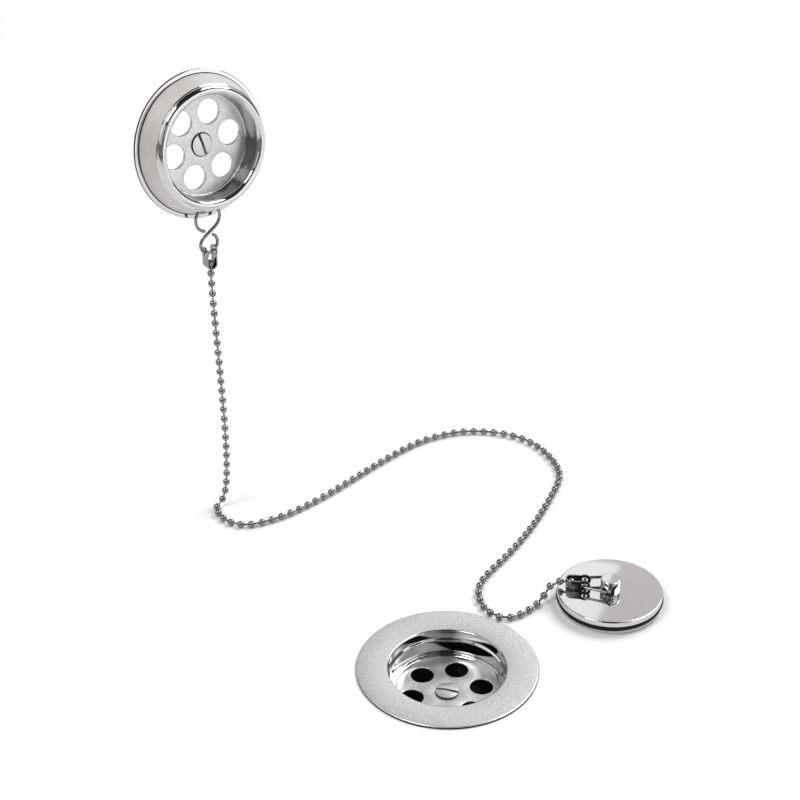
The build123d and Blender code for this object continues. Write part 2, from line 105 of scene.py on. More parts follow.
# Route of the chain from one coupling's ball to the other's, the control points of its line
CHAIN_ROUTE = [
    (-97.472, 112.888, 122.821),
    (-97.3, 112.7, 108.0),
    (-96.4, 112.7, 84.0),
    (-95.4, 112.7, 58.0),
    (-94.9, 112.8, 34.0),
    (-95.4, 113.2, 15.0),
    (-97.3, 113.6, 4.0),
    (-100.6, 112.2, 1.6),
    (-99.9, 106.8, 1.6),
    (-96.6, 101.2, 1.6),
    (-91.2, 97.4, 1.6),
    (-84.5, 96.7, 1.6),
    (-76.0, 100.2, 1.6),
    (-66.0, 106.6, 1.6),
    (-52.2, 119.4, 1.6),
    (-39.0, 134.0, 1.6),
    (-25.5, 149.4, 1.6),
    (-12.0, 162.4, 1.6),
    (-2.5, 168.6, 1.6),
    (10.0, 173.2, 1.6),
    (20.0, 173.2, 1.6),
    (29.5, 171.6, 1.6),
    (38.4, 167.6, 1.6),
    (45.4, 160.6, 1.6),
    (50.4, 152.0, 1.6),
    (53.8, 142.4, 1.6),
    (54.0, 133.4, 1.6),
    (51.4, 125.2, 1.6),
    (47.8, 115.6, 1.6),
    (40.6, 98.0, 1.6),
    (29.4, 77.2, 1.6),
    (18.0, 60.6, 1.6),
    (14.6, 53.6, 1.6),
    (13.8, 46.6, 1.6),
    (15.0, 39.8, 1.6),
    (18.2, 34.2, 1.6),
    (22.6, 30.8, 1.6),
    (28.0, 31.0, 1.6),
    (33.0, 34.6, 1.6),
    (36.8, 38.4, 1.6),
    (39.8, 41.4, 2.4),
    (42.6, 44.0, 6.6),
    (45.6, 45.8, 9.7),
    (52.358, 45.555, 9.15),
]


# Soft boxes of the studio: name, place, aim, roll, width and height, brightness, colour
SOFT_BOXES = (
    ("top box", (1.25, 0.9, 1.8), (0.0, 0.1, 0.0), 0.0, (1.55, 1.4), 5.6, (1.0, 1.0, 1.0)),
    ("back card", (-0.44, 1.22, 0.95), (0.0, 0.05, 0.0), -27.0, (1.362, 0.9), 0.5, (0.97, 1.0, 1.0)),
    ("right card", (0.72, 1.36, 0.98), (0.05, 0.05, 0.0), 0.0, (1.7, 1.0), 0.78, (1.0, 0.965, 0.95)),
    ("left card", (-1.25, 0.05, 1.0), (-0.1, 0.1, 0.15), 0.0, (1.5, 1.3), 1.1, (1.0, 0.985, 0.97)),
    ("side card", (1.15, -0.5, 0.35), (-0.1, 0.12, 0.17), 0.0, (1.1, 0.9), 1.3, (1.0, 0.985, 0.98)),
    ("key box", (-0.75, -0.55, 1.7), (0.0, 0.05, 0.0), 0.0, (0.7, 0.7), 8.6, (1.0, 1.0, 1.0)),
    ("front left", (-0.72, -1.1, 0.85), (0.0, 0.0, 0.0), 0.0, (0.9, 0.7), 0.7, (1.0, 0.95, 0.925)),
    ("front right", (0.72, -1.1, 0.85), (0.0, 0.0, 0.0), 0.0, (0.9, 0.7), 0.7, (1.0, 0.95, 0.925)),
)
SKY_LOW = (0.27, 0.26, 0.255)
SKY_HIGH = (0.03, 0.029, 0.028)
SKY_TURN = 0.6

# The floor is open under the waste's flange
FLOOR_HOLE = 34.5 * MM
FLOOR_RADIUS = 6.0
FLOOR_SEGMENTS = 96

# Camera of the photograph, with its dip below the horizon in degrees
CAMERA_PLACE = (-0.01883, -0.62174, 0.51041)
CAMERA_DIP = 31.73
CAMERA_LENS = 90.0
CAMERA_SENSOR = 36.0
CAMERA_CLIP = (0.01, 20.0)


def length(name, description, millimetres):
    """A size that is written in millimetres and kept in metres."""
    return FloatProperty(name=name, description=description, default=millimetres * MM, unit="LENGTH")


def turn(name, description, degrees):
    """A turn that is written in degrees and kept in radians."""
    return FloatProperty(name=name, description=description, default=math.radians(degrees), subtype="ANGLE")


def paint(name, description, colour):
    """A colour of a finish."""
    return FloatVectorProperty(name=name, description=description, default=colour, subtype="COLOR")


class WasteSizes(bpy.types.PropertyGroup):
    """Sizes of the waste's turned flange, with heights from the bath's floor."""

    flange_radius: length("Flange radius", "Outside of the flange", 36.5)
    flange_top: length("Flange top", "Height of the flange's rim", 1.1)
    flange_dish: length("Flange dish", "Drop from rim to lip", 0.3)
    rim_round: length("Rim round", "Rounding of the rim", 0.6)
    mouth_radius: length("Mouth radius", "Wall under the lip", 23.6)
    mouth_round: length("Mouth round", "Rounding of the lip", 0.6)
    seat_radius: length("Seat radius", "Wall below the step", 22.8)
    seat_level: length("Seat level", "Height of the step", -3.0)
    seat_step: length("Seat step", "Drop of the step", 0.8)
    ridge_radius: length("Ridge radius", "Middle of the ridge", 21.1)
    ridge_top: length("Ridge top", "Height of the ridge", -10.0)
    ridge_width: length("Ridge width", "Width of the ridge", 1.2)
    ridge_round: length("Ridge round", "Rounding of the ridge", 0.5)
    grid_level: length("Grid level", "Top of the grid", -11.8)
    cup_radius: length("Cup radius", "Outside of the cup", 25.5)
    cup_floor: length("Cup floor", "Underside of the grid", -14.4)
    cup_round: length("Cup round", "Rounding of the cup's foot", 0.3)
    hole_radius: length("Hole radius", "Holes of the grid", 4.7)
    hole_circle: length("Hole circle", "Radius of the hole circle", 14.4)
    hole_angle: turn("Hole angle", "Turn of the first hole", 13.0)
    hole_round: length("Hole round", "Rounding of the holes' edges", 0.35)
    screw_hole: length("Screw hole", "Hole for the screw", 3.6)


class OverflowSizes(bpy.types.PropertyGroup):
    """Sizes of the overflow face, with heights from its back."""

    radius: length("Flange radius", "Outside of the flange", 30.7)
    flange: length("Flange thickness", "Thin edge at the back", 0.9)
    flange_round: length("Flange round", "Rounding of the flange's edge", 0.35)
    height: length("Height", "Front of the ring", 11.4)
    ring_radius: length("Ring radius", "Middle of the rolled ring", 23.5)
    ring_round: length("Ring round", "Half width of the ring", 2.0)
    ring_rise: length("Ring rise", "Height of the ring's crown", 1.7)
    ring_wall: length("Ring wall", "Metal under the ring's middle", 0.9)
    band_inset: length("Band inset", "Flange outside the band", 1.9)
    band_wall: length("Band wall", "Metal behind the band", 0.8)
    # Width of the painted shade at the band's foot
    band_shade_foot: length("Band foot", "Dark foot of the band", 0.35)
    groove: length("Groove", "Grooves beside the band", 0.4)
    grid_radius: length("Grid radius", "Edge of the grid", 20.4)
    grid_top: length("Grid front", "Front of the grid", 1.9)
    grid_back: length("Grid back", "Back of the grid", 0.6)
    ledge_height: length("Ledge height", "Ledge round the grid", 0.8)
    ledge_width: length("Ledge width", "Width of the ledge", 0.6)
    ledge_round: length("Ledge round", "Rounding of the ledge", 0.2)
    heel_width: length("Heel width", "Metal outside the grid's edge", 1.8)
    heel_height: length("Heel height", "Rise of that metal past the grid", 0.2)
    hole_radius: length("Hole radius", "Holes of the grid", 5.15)
    hole_circle: length("Hole circle", "Radius of the hole circle", 13.65)
    hole_angle: turn("Hole angle", "Turn of the first hole", 7.0)
    hole_round: length("Hole round", "Rounding of the holes' edges", 0.25)
    screw_hole: length("Screw hole", "Hole for the screw", 3.1)
    # Outside of a thin ring of painted shade round the screw's head, and its rise from the grid
    screw_shade_ring: length("Screw ring", "Dark edge round the screw", 5.05)
    shade_ring_rise: length("Screw rise", "Rise of that edge from the grid", 0.05)
    hook_hole: length("Hook hole", "Holes for the S-hook", 2.4)
    hook_level: length("Hook level", "Height of the hook's holes", 5.0)
    hook_drill: length("Hook drill", "Start of the hook's holes past the ring's inside", 2.9)
    hook_angle: turn("Hook angle", "Turn of the first hook hole", -104.8)
    hook_spread: turn("Hook spread", "Turn from one hook hole to the other", 17.2)


class PlugSizes(bpy.types.PropertyGroup):
    """Sizes of the plug, with heights from the bath's floor."""

    radius: length("Disc radius", "Top disc", 22.0)
    disc_top: length("Disc top", "Top of the polished disc", 6.4)
    disc_round: length("Disc round", "Rounding of the discs' outer edges", 0.6)
    base_top: length("Base top", "Top of the bottom disc", 1.7)
    base_inset: length("Base inset", "Bottom disc inside the top one", 0.5)
    seal_top: length("Seal top", "Top of the rubber", 4.0)
    seal_proud: length("Seal proud", "Rubber outside the top disc", 0.3)
    seal_tuck: length("Seal tuck", "Rubber's ends off the discs' edges", 0.1)
    seal_bevel: length("Seal bevel", "Height of the rubber's upper bevel", 0.3)
    seal_land: length("Seal land", "Height of the rubber's outer wall", 0.5)
    seal_round: length("Seal round", "Rounding of the rubber's upper bevel", 0.12)
    stud_radius: length("Stud radius", "Stud through the discs", 2.5)
    rivet_radius: length("Rivet radius", "Recess for the stud's rivet", 4.0)
    rivet_depth: length("Rivet depth", "Depth of that recess", 0.9)


class ChainSizes(bpy.types.PropertyGroup):
    """Sizes of the ball chain."""

    ball_radius: length("Ball radius", "Radius of each ball", 1.6)
    link_radius: length("Link radius", "Radius of the rods", 0.45)
    pitch: length("Pitch", "Ball to ball", 4.75)
    hanging_end: length("Hanging end", "Height where the chain lies", 17.0)
    link_start: FloatProperty(
        name="Link start",
        description="Start of a rod as a share of the ball's radius",
        default=0.85,
        subtype="FACTOR",
    )
    ball_segments: IntProperty(name="Ball segments", description="Faces round a ball", default=16)


class FinishColours(bpy.types.PropertyGroup):
    """Colours of the finishes."""

    chrome: paint("Chrome", "Polished chrome", (0.60, 0.60, 0.605))
    satin: paint("Satin", "Brushed band", (0.67, 0.645, 0.635))
    rubber: paint("Rubber", "Seals", (0.006, 0.006, 0.0065))
    plastic: paint("Plastic", "Tail", (0.02, 0.02, 0.021))
    brass: paint("Brass", "Insert", (0.70, 0.50, 0.20))
    floor: paint("Floor", "Studio floor", (0.93, 0.93, 0.93))


class Flow:
    """A shader socket that can be used in sums."""

    def __init__(self, finish, socket):
        self.finish = finish
        self.socket = socket

    def _math(self, operation, first, second):
        return self.finish.node("ShaderNodeMath", {"operation": operation}, {0: first, 1: second})

    def __add__(self, other):
        return self._math("ADD", self, other)

    def __radd__(self, other):
        return self._math("ADD", other, self)

    def __mul__(self, other):
        return self._math("MULTIPLY", self, other)

    def __rmul__(self, other):
        return self._math("MULTIPLY", other, self)


class Finish:
    """A material made of nodes."""

    def __init__(self, name, **constants):
        self.material = bpy.data.materials.new(name)
        self.material.use_nodes = True
        self.tree = self.material.node_tree
        self.surface = self.tree.nodes["Principled BSDF"]
        for socket, value in constants.items():
            self.surface.inputs[socket.replace("_", " ")].default_value = value

    def node(self, kind, settings=None, inputs=None, output=0):
        """Adds one node: its settings first, then the values or links of its sockets."""
        made = self.tree.nodes.new(kind)
        for key, value in (settings or {}).items():
            if key == "stops":
                ramp = made.color_ramp.elements
                while len(ramp) < len(value):
                    ramp.new(0.5)
                for element, (place, shade) in zip(ramp, value):
                    element.position = place
                    element.color = (*shade, 1.0)
            else:
                setattr(made, key, value)
        for key, value in (inputs or {}).items():
            self.put(made.inputs[key], value)
        return Flow(self, made.outputs[output])

    def put(self, socket, value):
        """Links a flow to a socket, or sets its value."""
        if isinstance(value, Flow):
            self.tree.links.new(value.socket, socket)
        else:
            socket.default_value = value

    def feed(self, **inputs):
        """Sets or links the surface's sockets."""
        for key, value in inputs.items():
            self.put(self.surface.inputs[key.replace("_", " ")], value)

    def place(self):
        """The piece's Object coordinates."""
        return self.node("ShaderNodeTexCoord", output="Object")

    def noise(self, scale, detail=3.0, roughness=0.55):
        """Noise on the piece's own coordinates."""
        return self.node(
            "ShaderNodeTexNoise",
            inputs={"Vector": self.place(), "Scale": scale, "Detail": detail, "Roughness": roughness},
        )

    def shades(self, factor, stops):
        """A ramp of colours (place, colour) that a value runs through."""
        return self.node("ShaderNodeValToRGB", {"stops": stops}, {"Fac": factor})

    def bump(self, height, distance, strength):
        """Small relief, its distance in metres."""
        return self.node(
            "ShaderNodeBump", inputs={"Height": height, "Distance": distance, "Strength": strength}
        )


def tint(colour, factor):
    """A colour made darker or lighter."""
    return tuple(channel * factor for channel in colour)


def polished_chrome(colour):
    """Mirror chrome with a faint cloud in it."""
    finish = Finish("polished chrome", Metallic=1.0)
    cloud = finish.noise(scale=140.0, detail=4.0)
    fine = finish.noise(scale=2600.0, detail=2.0)
    finish.feed(
        Base_Color=finish.shades(cloud, [(0.3, tint(colour, 0.97)), (0.7, tint(colour, 1.03))]),
        Roughness=0.045 + 0.05 * cloud,
        Normal=finish.bump(fine, distance=0.004 * MM, strength=0.5),
    )
    return finish.material


def satin_chrome(colour):
    """Dull, warm chrome of the overflow's band."""
    finish = Finish("satin chrome", Metallic=1.0)
    cloud = finish.noise(scale=120.0, detail=4.0)
    grain = finish.noise(scale=1500.0, detail=3.0, roughness=0.7)
    finish.feed(
        Base_Color=finish.shades(
            0.3 * cloud + 0.7 * grain, [(0.35, tint(colour, 0.88)), (0.65, tint(colour, 1.1))]
        ),
        Roughness=0.66 + 0.16 * grain,
        Normal=finish.bump(grain, distance=0.05 * MM, strength=0.8),
    )
    return finish.material


def grid_chrome(colour):
    """Half bright chrome of the drilled grids."""
    finish = Finish("pressed grid chrome", Metallic=1.0)
    speck = finish.noise(scale=1200.0, detail=4.0, roughness=0.75)
    finish.feed(
        Base_Color=finish.shades(speck, [(0.38, tint(colour, 0.9)), (0.62, tint(colour, 1.22))]),
        Roughness=0.34 + 0.16 * speck,
        Normal=finish.bump(speck, distance=0.04 * MM, strength=0.6),
    )
    return finish.material


def flange_chrome(colour):
    """Speckled chrome of the waste's flange."""
    finish = Finish("speckled flange chrome", Metallic=1.0)
    speck = finish.noise(scale=1300.0, detail=3.0, roughness=0.8)
    finish.feed(
        Base_Color=finish.shades(speck, [(0.38, tint(colour, 0.96)), (0.62, tint(colour, 1.36))]),
        Roughness=0.26 + 0.14 * speck,
        Normal=finish.bump(speck, distance=0.04 * MM, strength=0.6),
    )
    return finish.material


def bead_chrome(colour):
    """Dark, bright chrome of chain, hook, couplings and bail."""
    finish = Finish("bead chrome", Metallic=1.0)
    wear = finish.noise(scale=700.0, detail=3.0)
    finish.feed(
        Base_Color=finish.shades(wear, [(0.35, tint(colour, 0.34)), (0.65, tint(colour, 0.47))]),
        Roughness=0.06 + 0.06 * wear,
    )
    return finish.material


def recess_shade_chrome(colour):
    """Chrome darkened inside the overflow's ring, as painted shade."""
    finish = Finish("recess chrome", Metallic=1.0)
    wear = finish.noise(scale=500.0, detail=3.0)
    finish.feed(
        Base_Color=finish.shades(wear, [(0.35, tint(colour, 0.36)), (0.65, tint(colour, 0.48))]),
        Roughness=0.12 + 0.1 * wear,
    )
    return finish.material


def painted_shade_chrome(colour):
    """Nearly black chrome that paints shade on edges, screws' walls and holes."""
    finish = Finish("shaded chrome", Metallic=1.0)
    grain = finish.noise(scale=900.0, detail=3.0)
    finish.feed(
        Base_Color=finish.shades(grain, [(0.3, tint(colour, 0.05)), (0.7, tint(colour, 0.1))]),
        Roughness=0.4 + 0.2 * grain,
    )
    return finish.material


def seal_rubber(colour):
    """Black rubber of the seal and washers."""
    finish = Finish("seal rubber", Specular_IOR_Level=0.12)
    grain = finish.noise(scale=1800.0, detail=3.0)
    finish.feed(
        Base_Color=finish.shades(grain, [(0.3, tint(colour, 0.8)), (0.7, tint(colour, 1.6))]),
        Roughness=0.5 + 0.15 * grain,
        Normal=finish.bump(grain, distance=0.03 * MM, strength=0.5),
    )
    return finish.material


def moulded_plastic(colour):
    """Black plastic of the tail."""
    finish = Finish("moulded plastic")
    grain = finish.noise(scale=1300.0, detail=3.0)
    finish.feed(
        Base_Color=finish.shades(grain, [(0.3, tint(colour, 0.85)), (0.7, tint(colour, 1.3))]),
        Roughness=0.38 + 0.15 * grain,
        Normal=finish.bump(grain, distance=0.03 * MM, strength=0.4),
    )
    return finish.material


def machined_brass(colour):
    """Brass of the tail's insert."""
    finish = Finish("machined brass", Metallic=1.0)
    grain = finish.noise(scale=900.0, detail=3.0)
    finish.feed(
        Base_Color=finish.shades(grain, [(0.3, tint(colour, 0.85)), (0.7, tint(colour, 1.1))]),
        Roughness=0.22 + 0.12 * grain,
    )
    return finish.material


def floor_paint(colour):
    """Plain pale paint of the studio floor."""
    finish = Finish("studio floor")
    grain = finish.noise(scale=9.0, detail=3.0)
    finish.feed(
        Base_Color=finish.shades(grain, [(0.2, tint(colour, 0.995)), (0.8, tint(colour, 1.005))]),
        Roughness=0.75 + 0.1 * grain,
    )
    return finish.material


FINISHES = {
    "chrome": (polished_chrome, "chrome"),
    "satin": (satin_chrome, "satin"),
    "grid": (grid_chrome, "chrome"),
    "flange": (flange_chrome, "chrome"),
    "bead": (bead_chrome, "chrome"),
    # The recess finish is chrome darkened as painted shade inside the overflow's ring
    "recess": (recess_shade_chrome, "chrome"),
    # Nearly black chrome as painted shade on edges, walls, grooves and holes
    "shaded": (painted_shade_chrome, "chrome"),
    "rubber": (seal_rubber, "rubber"),
    "plastic": (moulded_plastic, "plastic"),
    "brass": (machined_brass, "brass"),
    "floor": (floor_paint, "floor"),
}
MADE_FINISHES = {}


def finish_for(key):
    """The material of that finish, made the first time it is asked for."""
    if key not in MADE_FINISHES:
        maker, colour = FINISHES[key]
        MADE_FINISHES[key] = maker(tuple(getattr(bpy.context.scene.bath_colours, colour)))
    return MADE_FINISHES[key]


def link_mesh(name, bm, finishes, sharp_angle=None):
    """Turns a bmesh into an object with its finishes, smooth except at sharp edges."""
    mesh = bpy.data.meshes.new(name)
    bm.to_mesh(mesh)
    bm.free()
    for key in finishes:
        mesh.materials.append(finish_for(key))
    if sharp_angle is not None:
        mesh.shade_smooth()
        mesh.set_sharp_from_angle(angle=math.radians(sharp_angle))
    piece = bpy.data.objects.new(name, mesh)
    bpy.context.scene.collection.objects.link(piece)
    return piece


def set_piece(piece, body, slot, *nodes):
    """The piece rides on a body and stands for CAD nodes, which are hidden; the slot is not used."""
    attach(piece, body)
    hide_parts(*nodes)


def turned_ring(bm, section):
    """Spins a closed section of (radius, height, rounding) round Z."""
    corners = [bm.verts.new((radius, 0.0, height)) for radius, height, _ in section]
    for first, second in zip(corners, corners[1:] + corners[:1]):
        bm.edges.new((first, second))
    outline = set(corners)
    for corner, (_, _, rounding) in zip(corners, section):
        if rounding:
            outline.discard(corner)
            rounded = bmesh.ops.bevel(
                bm,
                geom=[corner],
                offset=rounding,
                offset_type="OFFSET",
                segments=ROUNDING_SEGMENTS,
                profile=0.5,
                affect="VERTICES",
                material=-1,
                clamp_overlap=False,
            )
            outline.update(rounded["verts"])
    edges = {edge for vert in outline if vert.is_valid for edge in vert.link_edges if not edge.link_faces}
    bmesh.ops.spin(
        bm,
        geom=list(edges),
        cent=(0, 0, 0),
        axis=(0, 0, 1),
        angle=2 * math.pi,
        steps=SPIN_STEPS,
        use_merge=True,
    )


def crown(middle, level, half_width, rise):
    """Corners of a round crown that stands on a level, from its inside to its outside."""
    radius = (half_width**2 + rise**2) / (2 * rise)
    centre = level + rise - radius
    reach = math.asin(half_width / radius)
    turns = [reach * (2 * step / CROWN_STEPS - 1) for step in range(CROWN_STEPS + 1)]
    return [(middle + radius * math.sin(lean), centre + radius * math.cos(lean), 0) for lean in turns]


def finish_faces(bm, finishes, finish_at):
    """Each face takes the finish for its middle's distance from the axis and height."""
    for face in bm.faces:
        middle = face.calc_center_median()
        face.material_index = finishes.index(finish_at(middle.xy.length, middle.z))


def drilled_plate(bm, radius, low, high, holes, rounding, face_finish, wall_finish):
    """Adds a flat round plate with round holes (x, y, radius), their front edges eased."""
    plate = bmesh.new()
    bmesh.ops.create_circle(plate, segments=SPIN_STEPS, radius=radius)
    for x, y, hole in holes:
        bmesh.ops.create_circle(
            plate, segments=HOLE_SEGMENTS, radius=hole, matrix=Matrix.Translation((x, y, 0))
        )
    bmesh.ops.triangle_fill(plate, use_beauty=True, use_dissolve=False, edges=plate.edges[:])
    bmesh.ops.recalc_face_normals(plate, faces=plate.faces[:])
    if plate.faces[:][0].normal.z < 0:
        bmesh.ops.reverse_faces(plate, faces=plate.faces[:])
    bmesh.ops.translate(plate, verts=plate.verts[:], vec=(0, 0, high))
    sheet = bmesh.ops.extrude_face_region(plate, geom=plate.faces[:], use_keep_orig=True)
    lower = [item for item in sheet["geom"] if isinstance(item, bmesh.types.BMVert)]
    bmesh.ops.translate(plate, verts=lower, vec=(0, 0, low - high))
    bmesh.ops.recalc_face_normals(plate, faces=plate.faces[:])
    middle = (low + high) / 2
    rims = [
        edge
        for edge in plate.edges
        if len(edge.link_faces) == 2
        and edge.calc_face_angle(0) > RIM_ANGLE
        and all(vert.co.z > middle for vert in edge.verts)
        and edge.verts[0].co.xy.length < radius - SLACK
    ]
    bmesh.ops.bevel(
        plate,
        geom=rims,
        offset=rounding,
        segments=RIM_SEGMENTS,
        profile=0.5,
        affect="EDGES",
        material=-1,
    )
    plate.normal_update()
    for face in plate.faces:
        # Hole walls take wall_finish, which the waste's grid sets to painted shade
        face.material_index = wall_finish if abs(face.normal.z) < PLATE_WALL else face_finish
    mesh = bpy.data.meshes.new("plate")
    plate.to_mesh(mesh)
    plate.free()
    bm.from_mesh(mesh)
    bpy.data.meshes.remove(mesh)


def hole_ring(radius, circle, angle, centre):
    """The grid's holes (x, y, radius) on their circle, and the screw's in the middle."""
    turns = [angle + 2 * math.pi * index / GRID_HOLES for index in range(GRID_HOLES)]
    holes = [(circle * math.cos(lean), circle * math.sin(lean), radius) for lean in turns]
    return holes + [(0.0, 0.0, centre)]


def bored(bm, radius, level, near, far, turns):
    """The ring with a radial hole at each turn, at one height and from a near to a far end."""
    drill = bmesh.new()
    for lean in turns:
        along = Matrix.Rotation(lean, 4, "Z") @ Matrix.Rotation(math.pi / 2, 4, "Y")
        bmesh.ops.create_cone(
            drill,
            cap_ends=True,
            segments=DRILL_SEGMENTS,
            radius1=radius,
            radius2=radius,
            depth=far - near,
            matrix=Matrix.Translation((0, 0, level)) @ along @ Matrix.Translation((0, 0, (near + far) / 2)),
        )
    bmesh.ops.recalc_face_normals(bm, faces=bm.faces[:])
    ring, cutter = link_mesh("ring blank", bm, []), link_mesh("hole drill", drill, [])
    cut = ring.modifiers.new("holes", "BOOLEAN")
    cut.operation = "DIFFERENCE"
    cut.solver = "EXACT"
    cut.object = cutter
    depsgraph = bpy.context.evaluated_depsgraph_get()
    mesh = bpy.data.meshes.new_from_object(ring.evaluated_get(depsgraph))
    result = bmesh.new()
    result.from_mesh(mesh)
    spent = (mesh, ring.data, cutter.data)
    for holder in (ring, cutter):
        bpy.data.objects.remove(holder)
    for leftover in spent:
        bpy.data.meshes.remove(leftover)
    return result


def overflow_matrix():
    """Places a piece built round Z on the overflow's axis."""
    up = OVERFLOW_NORMAL.cross(ACROSS)
    facing = Matrix((ACROSS, up, OVERFLOW_NORMAL)).transposed().to_4x4()
    return Matrix.Translation(OVERFLOW_CENTRE) @ facing


def smooth_copy(node, name, finish, axis=None):
    """A copy of a CAD node with its triangles joined, its walls along an axis given painted shade."""
    bm = bmesh.new()
    bm.from_mesh(frame["nodes"][node].data)
    bmesh.ops.remove_doubles(bm, verts=bm.verts[:], dist=JOIN_DISTANCE)
    bm.normal_update()
    for face in bm.faces:
        # Walls along the axis take painted shade
        face.material_index = 1 if axis and abs(face.normal.dot(axis)) < COPY_WALL else 0
    return link_mesh(name, bm, [finish, "shaded"] if axis else [finish], COPY_SHARP)


def route_points():
    """Points along the chain's NURBS line."""
    curve = bpy.data.curves.new("chain line", "CURVE")
    curve.dimensions = "3D"
    curve.resolution_u = ROUTE_RESOLUTION
    spline = curve.splines.new("NURBS")
    spline.points.add(len(CHAIN_ROUTE) - 1)
    for point, place in zip(spline.points, CHAIN_ROUTE):
        point.co = (*(Vector(place) * MM), 1.0)
    spline.order_u = 3
    spline.use_endpoint_u = True
    holder = bpy.data.objects.new("chain line", curve)
    bpy.context.scene.collection.objects.link(holder)
    depsgraph = bpy.context.evaluated_depsgraph_get()
    mesh = bpy.data.meshes.new_from_object(holder.evaluated_get(depsgraph))
    points = [vert.co.copy() for vert in mesh.vertices]
    bpy.data.meshes.remove(mesh)
    bpy.data.objects.remove(holder)
    bpy.data.curves.remove(curve)
    return points


def even_places(points, pitch):
    """Places at an even pitch along a line of points, first and last included."""
    lengths = [(b - a).length for a, b in zip(points, points[1:])]
    count = round(sum(lengths) / pitch)
    step = sum(lengths) / count
    places, travelled, index = [points[0]], 0.0, 0
    for number in range(1, count):
        while travelled + lengths[index] < number * step:
            travelled += lengths[index]
            index += 1
        share = (number * step - travelled) / lengths[index]
        places.append(points[index].lerp(points[index + 1], share))
    return places + [points[-1]]


def bead_string(places, joined, sizes):
    """Balls at the places, and rods between neighbours and on to the joined place."""
    bm = bmesh.new()
    stops = places + ([joined] if joined else [])
    for index, place in enumerate(places):
        near = stops[max(index - 1, 0)]
        far = stops[min(index + 1, len(stops) - 1)]
        facing = (far - near).to_track_quat("Z", "Y").to_matrix().to_4x4()
        bmesh.ops.create_uvsphere(
            bm,
            u_segments=sizes.ball_segments,
            v_segments=sizes.ball_segments // 2 + 1,
            radius=sizes.ball_radius,
            matrix=Matrix.Translation(place) @ facing,
        )
    for first, second in zip(stops, stops[1:]):
        span = second - first
        facing = span.to_track_quat("Z", "Y").to_matrix().to_4x4()
        bmesh.ops.create_cone(
            bm,
            cap_ends=True,
            segments=LINK_SEGMENTS,
            radius1=sizes.link_radius,
            radius2=sizes.link_radius,
            depth=span.length - 2 * sizes.link_start * sizes.ball_radius,
            matrix=Matrix.Translation((first + second) / 2) @ facing,
        )
    return bm


def studio_floor():
    """The pale floor, open under the waste."""
    bm = bmesh.new()
    for radius in (FLOOR_HOLE, FLOOR_RADIUS):
        bmesh.ops.create_circle(bm, segments=FLOOR_SEGMENTS, radius=radius)
    bmesh.ops.bridge_loops(bm, edges=bm.edges[:])
    bmesh.ops.recalc_face_normals(bm, faces=bm.faces[:])
    if bm.faces[:][0].normal.z < 0:
        bmesh.ops.reverse_faces(bm, faces=bm.faces[:])
    link_mesh("studio_floor", bm, ["floor"])


def studio_sky(scene):
    """Dim surroundings that darken upwards, for the polished pieces to reflect."""
    world = bpy.data.worlds.new("studio")
    world.use_nodes = True
    scene.world = world
    tree = world.node_tree
    sky = tree.nodes["Background"]
    place = tree.nodes.new("ShaderNodeTexCoord")
    parts = tree.nodes.new("ShaderNodeSeparateXYZ")
    ramp = tree.nodes.new("ShaderNodeValToRGB")
    tree.links.new(place.outputs["Generated"], parts.inputs[0])
    tree.links.new(parts.outputs["Z"], ramp.inputs["Fac"])
    tree.links.new(ramp.outputs["Color"], sky.inputs["Color"])
    low, high = ramp.color_ramp.elements
    low.position, low.color = 0.0, (*SKY_LOW, 1.0)
    high.position, high.color = SKY_TURN, (*SKY_HIGH, 1.0)
    sky.inputs["Strength"].default_value = 1.0


def soft_box(scene, name, place, aim, roll, size, brightness, colour):
    """A lit rectangle that faces its aim, rolled by some degrees."""
    lamp = bpy.data.lights.new(name, "AREA")
    lamp.shape = "RECTANGLE"
    lamp.size, lamp.size_y = size
    lamp.energy = brightness * math.pi * size[0] * size[1]
    lamp.color = colour
    holder = bpy.data.objects.new(name, lamp)
    holder.location = place
    holder.rotation_euler = (Vector(aim) - holder.location).to_track_quat("-Z", "Y").to_euler()
    holder.rotation_euler.rotate_axis("Z", math.radians(roll))
    scene.collection.objects.link(holder)


def studio_camera(scene):
    """The camera at the photograph's view."""
    lens = bpy.data.cameras.new("photograph")
    lens.lens = CAMERA_LENS
    lens.sensor_width = CAMERA_SENSOR
    lens.clip_start, lens.clip_end = CAMERA_CLIP
    camera = bpy.data.objects.new("photograph", lens)
    camera.location = CAMERA_PLACE
    camera.rotation_euler = (math.radians(90.0 - CAMERA_DIP), 0.0, 0.0)
    scene.collection.objects.link(camera)
    scene.camera = camera


